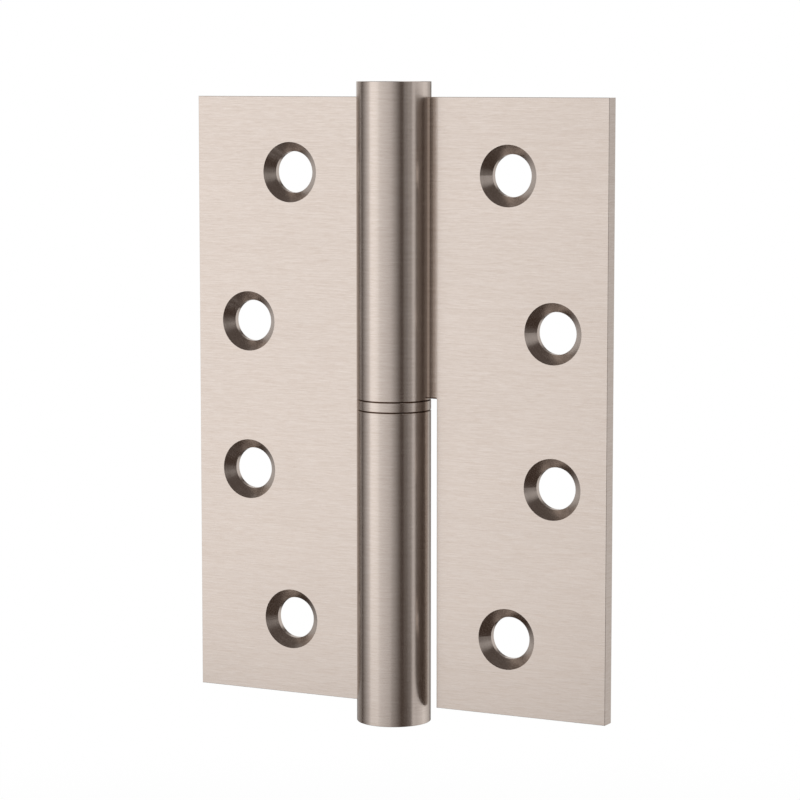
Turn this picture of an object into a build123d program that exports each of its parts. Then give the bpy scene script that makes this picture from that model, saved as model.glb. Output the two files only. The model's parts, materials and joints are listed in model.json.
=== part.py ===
from build123d import *
from math import radians, tan
import os

# Lift-off hinge, laid flat open. The pin's axis is Z and the origin is on it, half way up.
# The frame leaf is at -X with the lower knuckle, and the door leaf is at +X with the upper one.
# The countersunk front faces look towards -Y. Sizes are in millimetres.

# Leaves
leaf_height = 100.0
leaf_reach = 37.5  # from the pin's axis to the leaf's outer edge
leaf_thickness = 2.5
leaf_set_back = 1.0  # from the pin's axis back to the front faces, so closed leaves lie twice this apart
edge_break = 0.05  # free edges are left crisp, and only just broken before plating

# Knuckles
knuckle_diameter = 12.2
knuckle_overhang = 2.5  # how far a knuckle stands past its leaf's end
knuckle_end_wall = 13.0  # metal left between the bore and the knuckle's closed end
joint_chamfer = 0.14  # on the edges that meet at the joints, where two of them show as a dark line

# Slot in each leaf, beside the other leaf's knuckle
slot_clearance = 1.25
slot_relief = 0.25  # how far the slot runs past the knuckle's joint face

# Washer between the knuckles
washer_thickness = 1.7
washer_clearance = 0.1

# Pin
pin_diameter = 7.0
pin_interference = 0.01
running_clearance = 0.05
pin_end_gap = 1.0
pin_foot_chamfer = 0.4
pin_nose_length = 3.0
pin_nose_set_in = 1.1
pin_nose_round = 0.8
bore_mouth_chamfer = 0.3
drill_point_angle = 118.0

# Screw holes, four in each leaf
hole_diameter = 6.9
countersink_diameter = 10.0
countersink_angle = 90.0
middle_hole_inset = 9.5  # from the leaf's outer edge
hole_stagger = 8.0  # how much nearer to the knuckle the end holes are
end_hole_inset = 12.5  # from the leaf's top or bottom edge
middle_hole_spacing = 25.0

# Places worked out from the sizes
leaf_end = leaf_height / 2
leaf_front = leaf_set_back
leaf_back = leaf_set_back + leaf_thickness
knuckle_radius = knuckle_diameter / 2
knuckle_end = leaf_end + knuckle_overhang
joint_face = washer_thickness / 2
slot_edge = knuckle_radius + slot_clearance
slot_end = joint_face + slot_relief
pin_radius = pin_diameter / 2
bore_end = knuckle_end - knuckle_end_wall
pin_top = bore_end - pin_end_gap
middle_hole_reach = leaf_reach - middle_hole_inset
end_hole_reach = middle_hole_reach - hole_stagger
end_hole_height = leaf_end - end_hole_inset
middle_hole_height = middle_hole_spacing / 2
screw_holes = [
    (reach, side * height)
    for reach, height in ((end_hole_reach, end_hole_height), (middle_hole_reach, middle_hole_height))
    for side in (1, -1)
]


def blind_bore(radius, mouth_height, end_height):
    """Cuts a drilled bore on the pin's axis, with a chamfered mouth and the cone that the drill leaves."""
    way = 1 if end_height > mouth_height else -1
    point = radius / tan(radians(drill_point_angle / 2))
    with BuildSketch(Plane.XZ) as drill:
        with BuildLine():
            Polyline(
                (0, mouth_height),
                (radius + bore_mouth_chamfer, mouth_height),
                (radius, mouth_height + way * bore_mouth_chamfer),
                (radius, end_height),
                (0, end_height + way * point),
                close=True,
            )
        make_face()
    revolve(drill.sketch, axis=Axis.Z, mode=Mode.SUBTRACT)


# Both leaves start as the same blank. It is drawn here as the door leaf, with its knuckle above the joint.
with BuildPart() as leaf_blank:
    # The plate runs straight into its own knuckle. A slot beside the other leaf's knuckle leaves it room to turn.
    with BuildSketch(Plane.XZ.offset(-leaf_back)):
        with Locations((leaf_reach / 2, 0)):
            Rectangle(leaf_reach, leaf_height)
        with Locations((slot_edge / 2, (slot_end - leaf_end) / 2)):
            Rectangle(slot_edge, leaf_end + slot_end, mode=Mode.SUBTRACT)
    extrude(amount=leaf_thickness)
    outline = leaf_blank.edges().filter_by(Axis.Y, reverse=True)
    chamfer(outline.filter_by_position(Axis.X, 0, leaf_reach, inclusive=(False, True)), length=edge_break)

    # The knuckle stands past the leaf's end
    with BuildSketch(Plane.XY.offset(joint_face)):
        Circle(knuckle_radius)
    extrude(amount=knuckle_end - joint_face)
    rims = leaf_blank.edges().filter_by(GeomType.CIRCLE)
    chamfer(rims.filter_by_position(Axis.Z, knuckle_end, knuckle_end), length=edge_break)
    chamfer(rims.filter_by_position(Axis.Z, joint_face, joint_face), length=joint_chamfer)

    # Screw holes, countersunk from the front
    with Locations(Plane(origin=(0, leaf_front, 0), x_dir=(1, 0, 0), z_dir=(0, -1, 0))):
        with Locations(*screw_holes):
            CounterSinkHole(
                radius=hole_diameter / 2,
                counter_sink_radius=countersink_diameter / 2,
                depth=leaf_thickness,
                counter_sink_angle=countersink_angle,
            )

# The door leaf's bore runs on the pin
with BuildPart() as door_leaf:
    add(leaf_blank.part)
    blind_bore(pin_radius + running_clearance, joint_face, bore_end)

# The frame leaf is the blank turned upside down, and its bore grips the pin
with BuildPart() as frame_leaf:
    add(leaf_blank.part, rotation=(0, 180, 0))
    blind_bore(pin_radius - pin_interference, -joint_face, -bore_end)

# Steel pin with a tapered nose, which leads it into the door leaf as the door is hung
with BuildPart() as hinge_pin:
    with BuildSketch(Plane.XZ):
        with BuildLine():
            Polyline(
                (0, -bore_end),
                (pin_radius - pin_foot_chamfer, -bore_end),
                (pin_radius, pin_foot_chamfer - bore_end),
                (pin_radius, pin_top - pin_nose_length),
                (pin_radius - pin_nose_set_in, pin_top),
                (0, pin_top),
                close=True,
            )
        make_face()
    revolve(axis=Axis.Z)
    fillet(hinge_pin.edges().sort_by(Axis.Z)[-1], radius=pin_nose_round)

# Loose bearing ring that carries the door's weight
with BuildPart() as washer:
    with BuildSketch():
        Circle(knuckle_radius)
        Circle(pin_radius + washer_clearance, mode=Mode.SUBTRACT)
    extrude(amount=joint_face, both=True)
    chamfer(washer.edges().filter_by(GeomType.CIRCLE).group_by(SortBy.RADIUS)[-1], length=joint_chamfer)

os.makedirs("parts", exist_ok=True)
frame_leaf.part.label = "frame_leaf"
export_step(frame_leaf.part, "parts/frame_leaf.step")
hinge_pin.part.label = "hinge_pin"
export_step(hinge_pin.part, "parts/hinge_pin.step")
washer.part.label = "washer"
export_step(washer.part, "parts/washer.step")
door_leaf.part.label = "door_leaf"
export_step(door_leaf.part, "parts/door_leaf.step")
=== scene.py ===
import json
from math import radians

import bpy
import numpy as np
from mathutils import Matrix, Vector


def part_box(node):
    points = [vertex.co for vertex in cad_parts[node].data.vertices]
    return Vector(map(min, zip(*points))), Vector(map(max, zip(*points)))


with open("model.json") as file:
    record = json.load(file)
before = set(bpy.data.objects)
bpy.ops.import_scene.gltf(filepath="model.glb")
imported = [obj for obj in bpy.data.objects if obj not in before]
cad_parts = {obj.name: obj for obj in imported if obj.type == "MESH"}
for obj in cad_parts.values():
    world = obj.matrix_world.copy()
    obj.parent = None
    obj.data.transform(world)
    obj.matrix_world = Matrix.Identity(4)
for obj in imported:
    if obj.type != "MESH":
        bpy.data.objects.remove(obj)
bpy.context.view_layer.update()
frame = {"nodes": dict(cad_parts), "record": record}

# Frame leaf
# The half that is screwed to the door frame: a steel leaf and the lower knuckle in one piece, with four
# countersunk holes. It is nickel plated and brushed in level strokes, across the leaf and round the knuckle.

mounts = {mount["name"]: mount for mount in frame["record"]["mounts"]}
hole_pairs = [mounts["frame_end_screws"], mounts["frame_middle_screws"]]
leaf_back = mounts["frame_back"]["pos_m"][1]
knuckle_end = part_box("frame_leaf")[0].z
joint_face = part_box("washer")[1].z
knuckle_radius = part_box("washer")[1].x
countersink_radius = 0.005
joint_chamfer = 0.00014
slot_edge = 0.00735  # from the pin's axis
slot_end = 0.0011  # past the middle of the washer
slot_shade_reach = 0.00024  # how far the painted dark line stands past the slot's end
skin = 0.00002  # how near to a face a point counts as lying on it


class Wire:
    """A shader socket. Arithmetic on it adds Math nodes to the material that it belongs to."""

    def __init__(self, tree, socket=None):
        self.tree = tree
        self.socket = socket

    def feed(self, node, inputs):
        """Fills a node's sockets with numbers, colours or wires."""
        for name, value in inputs.items():
            if isinstance(value, Wire):
                self.tree.links.new(value.socket, node.inputs[name])
            else:
                node.inputs[name].default_value = value

    def node(self, kind, settings=None, inputs=None, output=0):
        """Adds a node, makes its settings, then fills its sockets. Gives its output, if it has one."""
        added = self.tree.nodes.new(kind)
        for name, value in (settings or {}).items():
            setattr(added, name, value)
        self.feed(added, inputs or {})
        return Wire(self.tree, added.outputs[output] if len(added.outputs) else None)

    def math(self, operation, *values):
        return self.node("ShaderNodeMath", {"operation": operation}, dict(enumerate(values)))

    def __add__(self, other):
        return self.math("ADD", self, other)

    def __sub__(self, other):
        return self.math("SUBTRACT", self, other)

    def __mul__(self, other):
        return self.math("MULTIPLY", self, other)

    def __truediv__(self, other):
        return self.math("DIVIDE", self, other)

    def __pow__(self, other):
        return self.math("POWER", self, other)

    def __lt__(self, other):
        return self.math("LESS_THAN", self, other)

    def __gt__(self, other):
        return self.math("GREATER_THAN", self, other)

    def __abs__(self):
        return self.math("ABSOLUTE", self)

    def __radd__(self, other):
        return self.math("ADD", other, self)

    def __rsub__(self, other):
        return self.math("SUBTRACT", other, self)

    def __rmul__(self, other):
        return self.math("MULTIPLY", other, self)

    def __rtruediv__(self, other):
        return self.math("DIVIDE", other, self)

    def smaller(self, other):
        return self.math("MINIMUM", self, other)

    def larger(self, other):
        return self.math("MAXIMUM", self, other)

    def turn_to(self, other, mask):
        """This value where the mask is 0 and the other where it is 1."""
        return self + (other - self) * mask


def new_finish(name):
    """A material, its shader, its node tree as a Wire, and a point on the piece as three Wires."""
    material = bpy.data.materials.new(name)
    material.use_nodes = True
    finish = Wire(material.node_tree)
    shader = material.node_tree.nodes["Principled BSDF"]
    place = finish.node("ShaderNodeTexCoord", output="Object")
    axes = [finish.node("ShaderNodeSeparateXYZ", inputs={"Vector": place}, output=axis) for axis in "XYZ"]
    return material, shader, finish, axes


def grain(finish, point, sizes, draw):
    """Noise from -1 to 1 about 0, whose blotches are as long as the sizes along each axis, in metres. Each
    draw gives another pattern."""
    stretched = [coordinate / size for coordinate, size in zip(point, sizes)]
    vector = finish.node("ShaderNodeCombineXYZ", inputs=dict(zip("XYZ", stretched)))
    fac = finish.node(
        "ShaderNodeTexNoise",
        {"noise_dimensions": "4D"},
        {"Vector": vector, "W": draw, "Scale": 1.0, "Detail": 2.0, "Roughness": 0.6},
    )
    return fac * 2.0 - 1.0


def tinted(finish, colour, shade):
    """The colour times one plus the shade."""
    return finish.node(
        "ShaderNodeVectorMath", {"operation": "SCALE"}, {"Vector": colour, "Scale": shade + 1.0}
    )


relief = 0.00001


def lightly_cut(finish, height, strength):
    """Turns marks into a fine relief of the surface."""
    return finish.node(
        "ShaderNodeBump", inputs={"Height": height, "Strength": strength, "Distance": relief}
    )


nickel_colour = (0.66, 0.583, 0.529)
nickel_edge_tint = (0.7, 0.69, 0.68, 1.0)
nickel_roughness = 0.2
# brown painted shade for the joint lines and the slot's end, mixed over the plate below
painted_crease_shade = (0.26, 0.19, 0.15, 1.0)
shade_fill = 2.5  # how soon the painted shade turns full dark on the way down a joint line to its bottom

stroke_tint = (0.548, 0.606, 0.645)  # a little cooler than the plate
stroke_contrast = 0.23
stroke_sheen = 0.05
stroke_depth = 0.14
scratch_weight = 0.8
stroke_length = 0.0020
stroke_height = 0.00014
hairline_weight = 0.5
hairline_length = 0.010
hairline_height = 0.00009
deep_from = 0.3  # hairlines stronger than this cut deep
deep_weight = 1.2
row_step = 0.5  # rows lie two noise cells apart, so that each is its own
row_place = 0.15  # puts every row at the same place in its noise cell, so that all are equally strong
knuckle_softening = 0.3  # how much fainter the strokes are round the knuckle

band_length = stroke_length * 7
band_height = stroke_height * 5
band_contrast = 0.03
drift_length = 0.03
drift_height = 0.012
drift_contrast = 0.03
ring_pitch = 0.00010
ring_arc = 0.004

back_shade = 0.04
back_dullness = 0.1
# how much darker the slot's wall is painted, as painted shade
wall_shade = 0.32


def satin_nickel(name, draw):
    """Brushed nickel plate. Strokes run level over leaves and knuckles, and cut faces carry the rings of
    their tool."""
    material, shader, finish, (x, y, z) = new_finish(name)

    # Level strokes in straight rows: short scratches, long hairlines, and the few of these that cut deep
    stroke_row = finish.math("FLOOR", z / stroke_height) + row_place
    hairline_row = finish.math("FLOOR", z / hairline_height) + row_place
    scratches = grain(finish, (x, y, stroke_row), (stroke_length, stroke_length, row_step), draw)
    hairlines = grain(finish, (x, y, hairline_row), (hairline_length, hairline_length, row_step), draw + 5)
    deep = (hairlines - deep_from).larger(0.0)
    strokes = scratches * scratch_weight + hairlines * hairline_weight - deep * deep_weight

    # Broader bands of strokes, and the slow drift of the hand that brushed them
    bands = grain(finish, (x, y, z), (band_length, band_length, band_height), draw + 3)
    drift = grain(finish, (x, y, z), (drift_length, drift_length, drift_height), draw + 7)

    # Distance to the nearest screw hole's middle. The holes stand alike on both leaves, and above and below.
    from_hole = None
    for pair in hole_pairs:
        across = abs(x) - abs(pair["pos_m"][0])
        half_spacing = pair["dims"]["spacing_y_mm"] / 2000  # in metres
        along = abs(z) - half_spacing
        distance = (across * across + along * along) ** 0.5
        from_hole = distance if from_hole is None else from_hole.smaller(distance)
    in_hole = (from_hole < countersink_radius + skin) * (y < leaf_back - skin)

    # Turned faces: the countersinks, and the flat ends of the knuckles
    from_pin = (x * x + y * y) ** 0.5
    on_end = (abs(abs(z) - abs(knuckle_end)) < skin).larger(abs(abs(z) - joint_face) < skin)
    tool_rings = grain(finish, (from_hole - y, x, z), (ring_pitch, ring_arc, ring_arc), draw + 11)
    face_rings = grain(finish, (from_pin, x, y), (ring_pitch, ring_arc, ring_arc), draw + 13)
    turned = in_hole.larger(on_end)
    on_knuckle = from_pin < knuckle_radius + skin
    brushed = strokes * (1 - on_knuckle * knuckle_softening)
    marks = brushed.turn_to(tool_rings, in_hole).turn_to(face_rings, on_end)

    # Painted brown shade in the joint lines above and below the washer, darkest at their bottom, and a thin
    # painted shade line along the end of the slot beside them
    joint_depth = 1 - abs(abs(z) - joint_face) / joint_chamfer
    on_chamfer = abs(knuckle_radius - joint_chamfer / 2 - from_pin) < joint_chamfer / 2 + skin
    joint_shade = (joint_depth * shade_fill).smaller(1.0).larger(0.0) * on_chamfer
    slot_end_shade = (abs(abs(z) - slot_end) < slot_shade_reach) * (abs(x) < slot_edge) * (1 - on_knuckle)
    painted_shade = joint_shade.larger(slot_end_shade)

    # The back was left duller by the mill, and the slot's wall is painted darker: painted shade in the slot
    on_back = y > leaf_back - skin
    on_wall = abs(abs(x) - slot_edge) < skin
    brushing = bands * band_contrast * (1 - turned) + drift * drift_contrast
    plain = tinted(finish, nickel_colour, brushing - on_back * back_shade - on_wall * wall_shade)
    clean = finish.node(
        "ShaderNodeVectorMath",
        {"operation": "MULTIPLY_ADD"},
        {0: marks * stroke_contrast, 1: stroke_tint, 2: plain},
    )
    # the painted shade goes over the plate's colour in the joint lines and at the slot's end
    colour = finish.node("ShaderNodeMix", {"data_type": "RGBA"}, {0: painted_shade, 6: clean, 7: painted_crease_shade}, 2)
    finish.feed(
        shader,
        {
            "Base Color": colour,
            "Metallic": 1.0,
            "Roughness": nickel_roughness + marks * stroke_sheen + on_back * back_dullness,
            "Specular Tint": nickel_edge_tint,
            "Normal": lightly_cut(finish, marks, stroke_depth),
        },
    )
    return material


def dress(node, material):
    """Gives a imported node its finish."""
    frame["nodes"][node].material_slots[0].material = material


dress("frame_leaf", satin_nickel("frame_leaf_nickel", 1))

# Hinge pin
# A bright steel pin, ground round and lightly oiled. Its foot is pressed into the frame leaf's knuckle, and
# its tapered nose leads it into the door leaf's bore.

steel_colour = (0.56, 0.56, 0.57)
steel_roughness = 0.16
line_length = 0.003
line_pitch = 0.00008
line_contrast = 0.08
line_sheen = 0.04
line_depth = 0.15
patch_width = 0.004
patch_height = 0.006
patch_contrast = 0.05
patch_sheen = 0.03
oil_film = 0.3
film_change = 0.2


def ground_steel(name, draw):
    """Ground steel with fine lines round the pin, and a thin film of oil that was wiped on in patches."""
    material, shader, finish, (x, y, z) = new_finish(name)
    lines = grain(finish, (x, y, z), (line_length, line_length, line_pitch), draw)
    patches = grain(finish, (x, y, z), (patch_width, patch_width, patch_height), draw + 5)
    finish.feed(
        shader,
        {
            "Base Color": tinted(finish, steel_colour, lines * line_contrast + patches * patch_contrast),
            "Metallic": 1.0,
            "Roughness": steel_roughness + lines * line_sheen + patches * patch_sheen,
            "Coat Weight": oil_film + patches * film_change,
            "Normal": lightly_cut(finish, lines, line_depth),
        },
    )
    return material


dress("hinge_pin", ground_steel("pin_steel_ground", 21))

# Washer
# A loose ring between the two knuckles, which carries the door's weight. It is plated and brushed round its
# rim like them.

dress("washer", satin_nickel("washer_nickel", 31))

# Door leaf
# The half that is screwed to the door and lifts off with it. It is made from the same blank as the frame
# leaf, turned upside down, with its knuckle bored to run on the pin.

dress("door_leaf", satin_nickel("door_leaf_nickel", 41))

# Floor
# A plain white floor, 20 cm under the hinge, which hangs there as if it were screwed to its frame. It takes
# the hinge's soft shadow, and fades into the white background further out.

floor_height = -0.25
floor_radius = 3.0
floor_rings = 40
floor_grey = (0.8, 0.8, 0.8, 1.0)
floor_lift = 0.2  # added where the floor is seen, to bring it near white
fade_start = 0.4  # from the hinge's middle
fade_end = 0.9
white = (1.0, 1.0, 1.0, 1.0)


def polar_surface(name, distance, bearings, elevations, glow=None):
    """A skin seen from the middle of the hinge. Each point lies along a bearing and an elevation, at a
    distance that is a function of the two. Bearings turn from the front, -Y, towards +X."""
    bearing, elevation = np.meshgrid(np.radians(bearings), np.radians(elevations))
    reach = distance(bearing, elevation)
    points = np.stack(
        [
            reach * np.cos(elevation) * np.sin(bearing),
            -reach * np.cos(elevation) * np.cos(bearing),
            reach * np.sin(elevation),
        ],
        axis=-1,
    )
    rows, columns = bearing.shape
    corner = np.arange(rows * columns).reshape(rows, columns)
    faces = np.stack([corner[:-1, :-1], corner[1:, :-1], corner[1:, 1:], corner[:-1, 1:]], axis=-1)
    mesh = bpy.data.meshes.new(name)
    mesh.from_pydata(points.reshape(-1, 3).tolist(), [], faces.reshape(-1, 4).tolist())
    if glow is not None:
        mesh.attributes.new("glow", "FLOAT", "POINT").data.foreach_set("value", glow.ravel())
    piece = bpy.data.objects.new(name, mesh)
    bpy.context.collection.objects.link(piece)
    return piece


def shows_background(tree):
    """1 for a ray that looks at the background, straight, reflected or through glass, and 0 for light."""
    looks = ("Camera", "Glossy", "Transmission")
    rays = [tree.node("ShaderNodeLightPath", output=f"Is {look} Ray") for look in looks]
    return rays[0].larger(rays[1]).larger(rays[2])


def floor_finish():
    """Matt white that keeps its shadow near the hinge and turns to even white with distance."""
    material = bpy.data.materials.new("white_floor")
    material.use_nodes = True
    material.node_tree.nodes.clear()
    floor = Wire(material.node_tree)
    point = floor.node("ShaderNodeTexCoord", output="Object")
    distance = floor.node("ShaderNodeVectorMath", {"operation": "LENGTH"}, {0: point}, "Value")
    far = floor.node(
        "ShaderNodeMapRange",
        {"interpolation_type": "SMOOTHSTEP"},
        {"Value": distance, "From Min": fade_start, "From Max": fade_end},
    )
    background = shows_background(floor)
    matt = floor.node("ShaderNodeBsdfDiffuse", inputs={"Color": floor_grey})
    lift = floor.node("ShaderNodeEmission", inputs={"Color": white, "Strength": background * floor_lift})
    near = floor.node("ShaderNodeAddShader", inputs={0: matt, 1: lift})
    even = floor.node("ShaderNodeEmission", inputs={"Color": white, "Strength": 1.0})
    mixed = floor.node("ShaderNodeMixShader", inputs={"Fac": far * background, 1: near, 2: even})
    floor.node("ShaderNodeOutputMaterial", inputs={"Surface": mixed})
    return material


floor_piece = polar_surface(
    "floor",
    lambda bearing, elevation: floor_height / np.sin(elevation),
    np.arange(0, 361, 5),
    -90 + np.degrees(np.arctan(np.linspace(0, floor_radius / abs(floor_height), floor_rings))),
)
floor_piece.data.materials.append(floor_finish())

# Reflection cards
# Soft boxes and grey cards stand round the hinge, as a photographer sets them for bright metal, and boards
# lie low and high. Only reflections show them. The room behind them is dim and brown, so that they draw the
# bands down the knuckles.

card_distance = 3.0
card_base = floor_height + 0.01
card_level = 1.13  # times every glow below
card_softness = 1.0  # degrees to each side of a card's left and right edges
room_brown = (0.0415, 0.0258, 0.018, 1.0)
dim_above = 0.052
dim_below = 0.012
dim_turn = 30  # degrees above and below level, where one turns to the other
cards = [
    # from and to bearing, glow at each, from and to elevation, how far the lower and upper edges fade
    (-133, -118, 0.90, 0.59, -18, 32, 18),
    (-118, -92, 0.55, 0.27, -18, 37, 18),
    (-120, -80, 0.15, 0.20, 28, 62, 8),
    (-86, -52, 0.09, 0.67, -20, 35, 8),
    (-52, -31, 1.02, 1.00, -19, 35, 8.5),
    (-31, -25.5, 0.977, 0.927, -20.3, 35, 8.5),
    (-25.5, -21.5, 0.937, 0.967, -21.3, 35, 8.5),
    (-21.5, 18, 0.77, 0.53, -20, 25, 6),
    (18, 50, 0.52, 0.015, -17, 25, 8),
    (58, 69, 0.17, 0.165, -12, 24, 8),
    (58, 75, 0.20, 0.26, 3, 30, 3),
    (70, 85, 0.275, 0.27, -14, 22, 8),
    (85, 96, 0.57, 0.58, -30, 22, 6),
    (96, 130, 0.48, 0.68, -32, 22, 6),
    (130, 176, 0.80, 0.46, -34, 24, 6),
    (176, 195, 0.20, 0.32, -25, 40, 8),
    (195, 211, 0.77, 0.87, -20, 30, 8),
    (211, 227, 0.86, 0.95, -11, 30, 8),
    # boards low in front and behind, and high in front and behind
    (-50, 25, 0.30, 0.30, -69, -58, 4),
    (-50, 25, 0.70, 0.65, -58, -34, 6),
    (25, 42, 0.65, 0.50, -52, -28, 6),
    (85, 200, 0.20, 0.20, -75, -58, 4),
    (85, 200, 0.55, 0.60, -58, -42, 6),
    (-50, 15, 0.60, 0.60, 38, 56, 6),
    (80, 240, 0.60, 0.70, 44, 80, 6),
]


def soft_step(value, edge, softness):
    """Rises from 0 to 1 across the edge in a smooth S, over twice the softness."""
    t = np.clip((value - edge) / (2 * softness) + 0.5, 0, 1)
    return t * t * (3 - 2 * t)


def card_glow(bearings, elevations):
    """Brightness in each direction: dim everywhere, and on each card a straight run between its two sides.
    Where two cards meet, each gives way to the other."""
    bearing, elevation = np.meshgrid(bearings, elevations)
    dim = dim_below + (dim_above - dim_below) * soft_step(elevation, 0, dim_turn)
    light = np.zeros_like(dim)
    cover = np.zeros_like(dim)
    for start, end, glow_start, glow_end, low, high, fade in cards:
        turn = (bearing - (start + end) / 2 + 180) % 360 - 180
        half = (end - start) / 2
        run = glow_start + (glow_end - glow_start) * np.clip((turn + half) / (2 * half), 0, 1)
        between_sides = soft_step(half - abs(turn), 0, card_softness)
        inside = between_sides * soft_step(elevation, low, fade) * soft_step(high, elevation, fade)
        light += run * inside
        cover += inside
    glow = light + dim * (1 - np.clip(cover, 0, 1))
    return glow * card_level


def card_reach(bearing, elevation):
    """One distance all round, but low down the skin is flat and lies just above the white floor."""
    flat = np.where(elevation < 0, card_base / np.minimum(np.sin(elevation), -1e-6), card_distance)
    return np.minimum(card_distance, flat)


bearings = np.arange(-180, 180.5, 1)
elevations = np.arange(-90, 90.5, 1)
glow = card_glow(bearings, elevations)
card_shell = polar_surface("reflection_cards", card_reach, bearings, elevations, glow)
card_material = bpy.data.materials.new("card_glow")
card_material.use_nodes = True
card_material.node_tree.nodes.clear()
card_tree = Wire(card_material.node_tree)
glow_here = card_tree.node("ShaderNodeAttribute", {"attribute_name": "glow"}, output="Fac")
card_white = card_tree.node("ShaderNodeEmission", inputs={"Color": white, "Strength": glow_here})
card_brown = card_tree.node("ShaderNodeEmission", inputs={"Color": room_brown, "Strength": card_level})
card_light = card_tree.node("ShaderNodeAddShader", inputs={0: card_white, 1: card_brown})
card_tree.node("ShaderNodeOutputMaterial", inputs={"Surface": card_light})
card_material.cycles.emission_sampling = "NONE"
card_shell.data.materials.append(card_material)
card_shell.visible_camera = False
card_shell.visible_diffuse = False
card_shell.visible_transmission = False
card_shell.visible_shadow = False

# Room light
# An even white room lights the floor and shows behind the hinge, and one broad soft lamp overhead gives the
# floor its shadow. Neither shows in the metal, which reflects only the cards.

room_level = 0.8
room_lift = 0.2  # added where the room is seen, which makes it white
lamp_width = 1.2
lamp_energy = 4.0
lamp_place = (-0.3, -0.3, 1.2)
lamp_lean = -14  # degrees about X and about Y, which lean its light to the right and the front

world = bpy.data.worlds.new("white_room")
bpy.context.scene.world = world
world.use_nodes = True
world.node_tree.nodes.clear()
room = Wire(world.node_tree)
room_strength = room_level + room_lift * shows_background(room)
room_light = room.node("ShaderNodeBackground", inputs={"Color": white, "Strength": room_strength})
room.node("ShaderNodeOutputWorld", inputs={"Surface": room_light})
world.cycles.sampling_method = "NONE"

lamp_data = bpy.data.lights.new("overhead_lamp", "AREA")
lamp_data.shape = "RECTANGLE"
lamp_data.size = lamp_width
lamp_data.size_y = lamp_width
lamp_data.energy = lamp_energy
lamp = bpy.data.objects.new("overhead_lamp", lamp_data)
lamp.location = lamp_place
lamp.rotation_euler = (radians(lamp_lean), radians(lamp_lean), 0)
lamp.visible_camera = False
lamp.visible_glossy = False
bpy.context.collection.objects.link(lamp)

# Camera
# A long lens to the right of the hinge's front, level with the upper knuckle's top. It looks a little down,
# so that the hinge stands in the middle of the picture.

camera_place = (0.225371, -0.432071, 0.054085)
camera_dip = 6.2563  # degrees, as the turn is
camera_turn = 27.4298
camera_lens = 134.87

camera_data = bpy.data.cameras.new("camera")
camera_data.lens = camera_lens
camera_data.sensor_width = 36.0
camera_data.clip_start = 0.01
camera = bpy.data.objects.new("camera", camera_data)
camera.location = camera_place
camera.rotation_euler = (radians(90 - camera_dip), 0, radians(camera_turn))
bpy.context.collection.objects.link(camera)
bpy.context.scene.camera = camera

bpy.context.scene.view_settings.view_transform = "Standard"
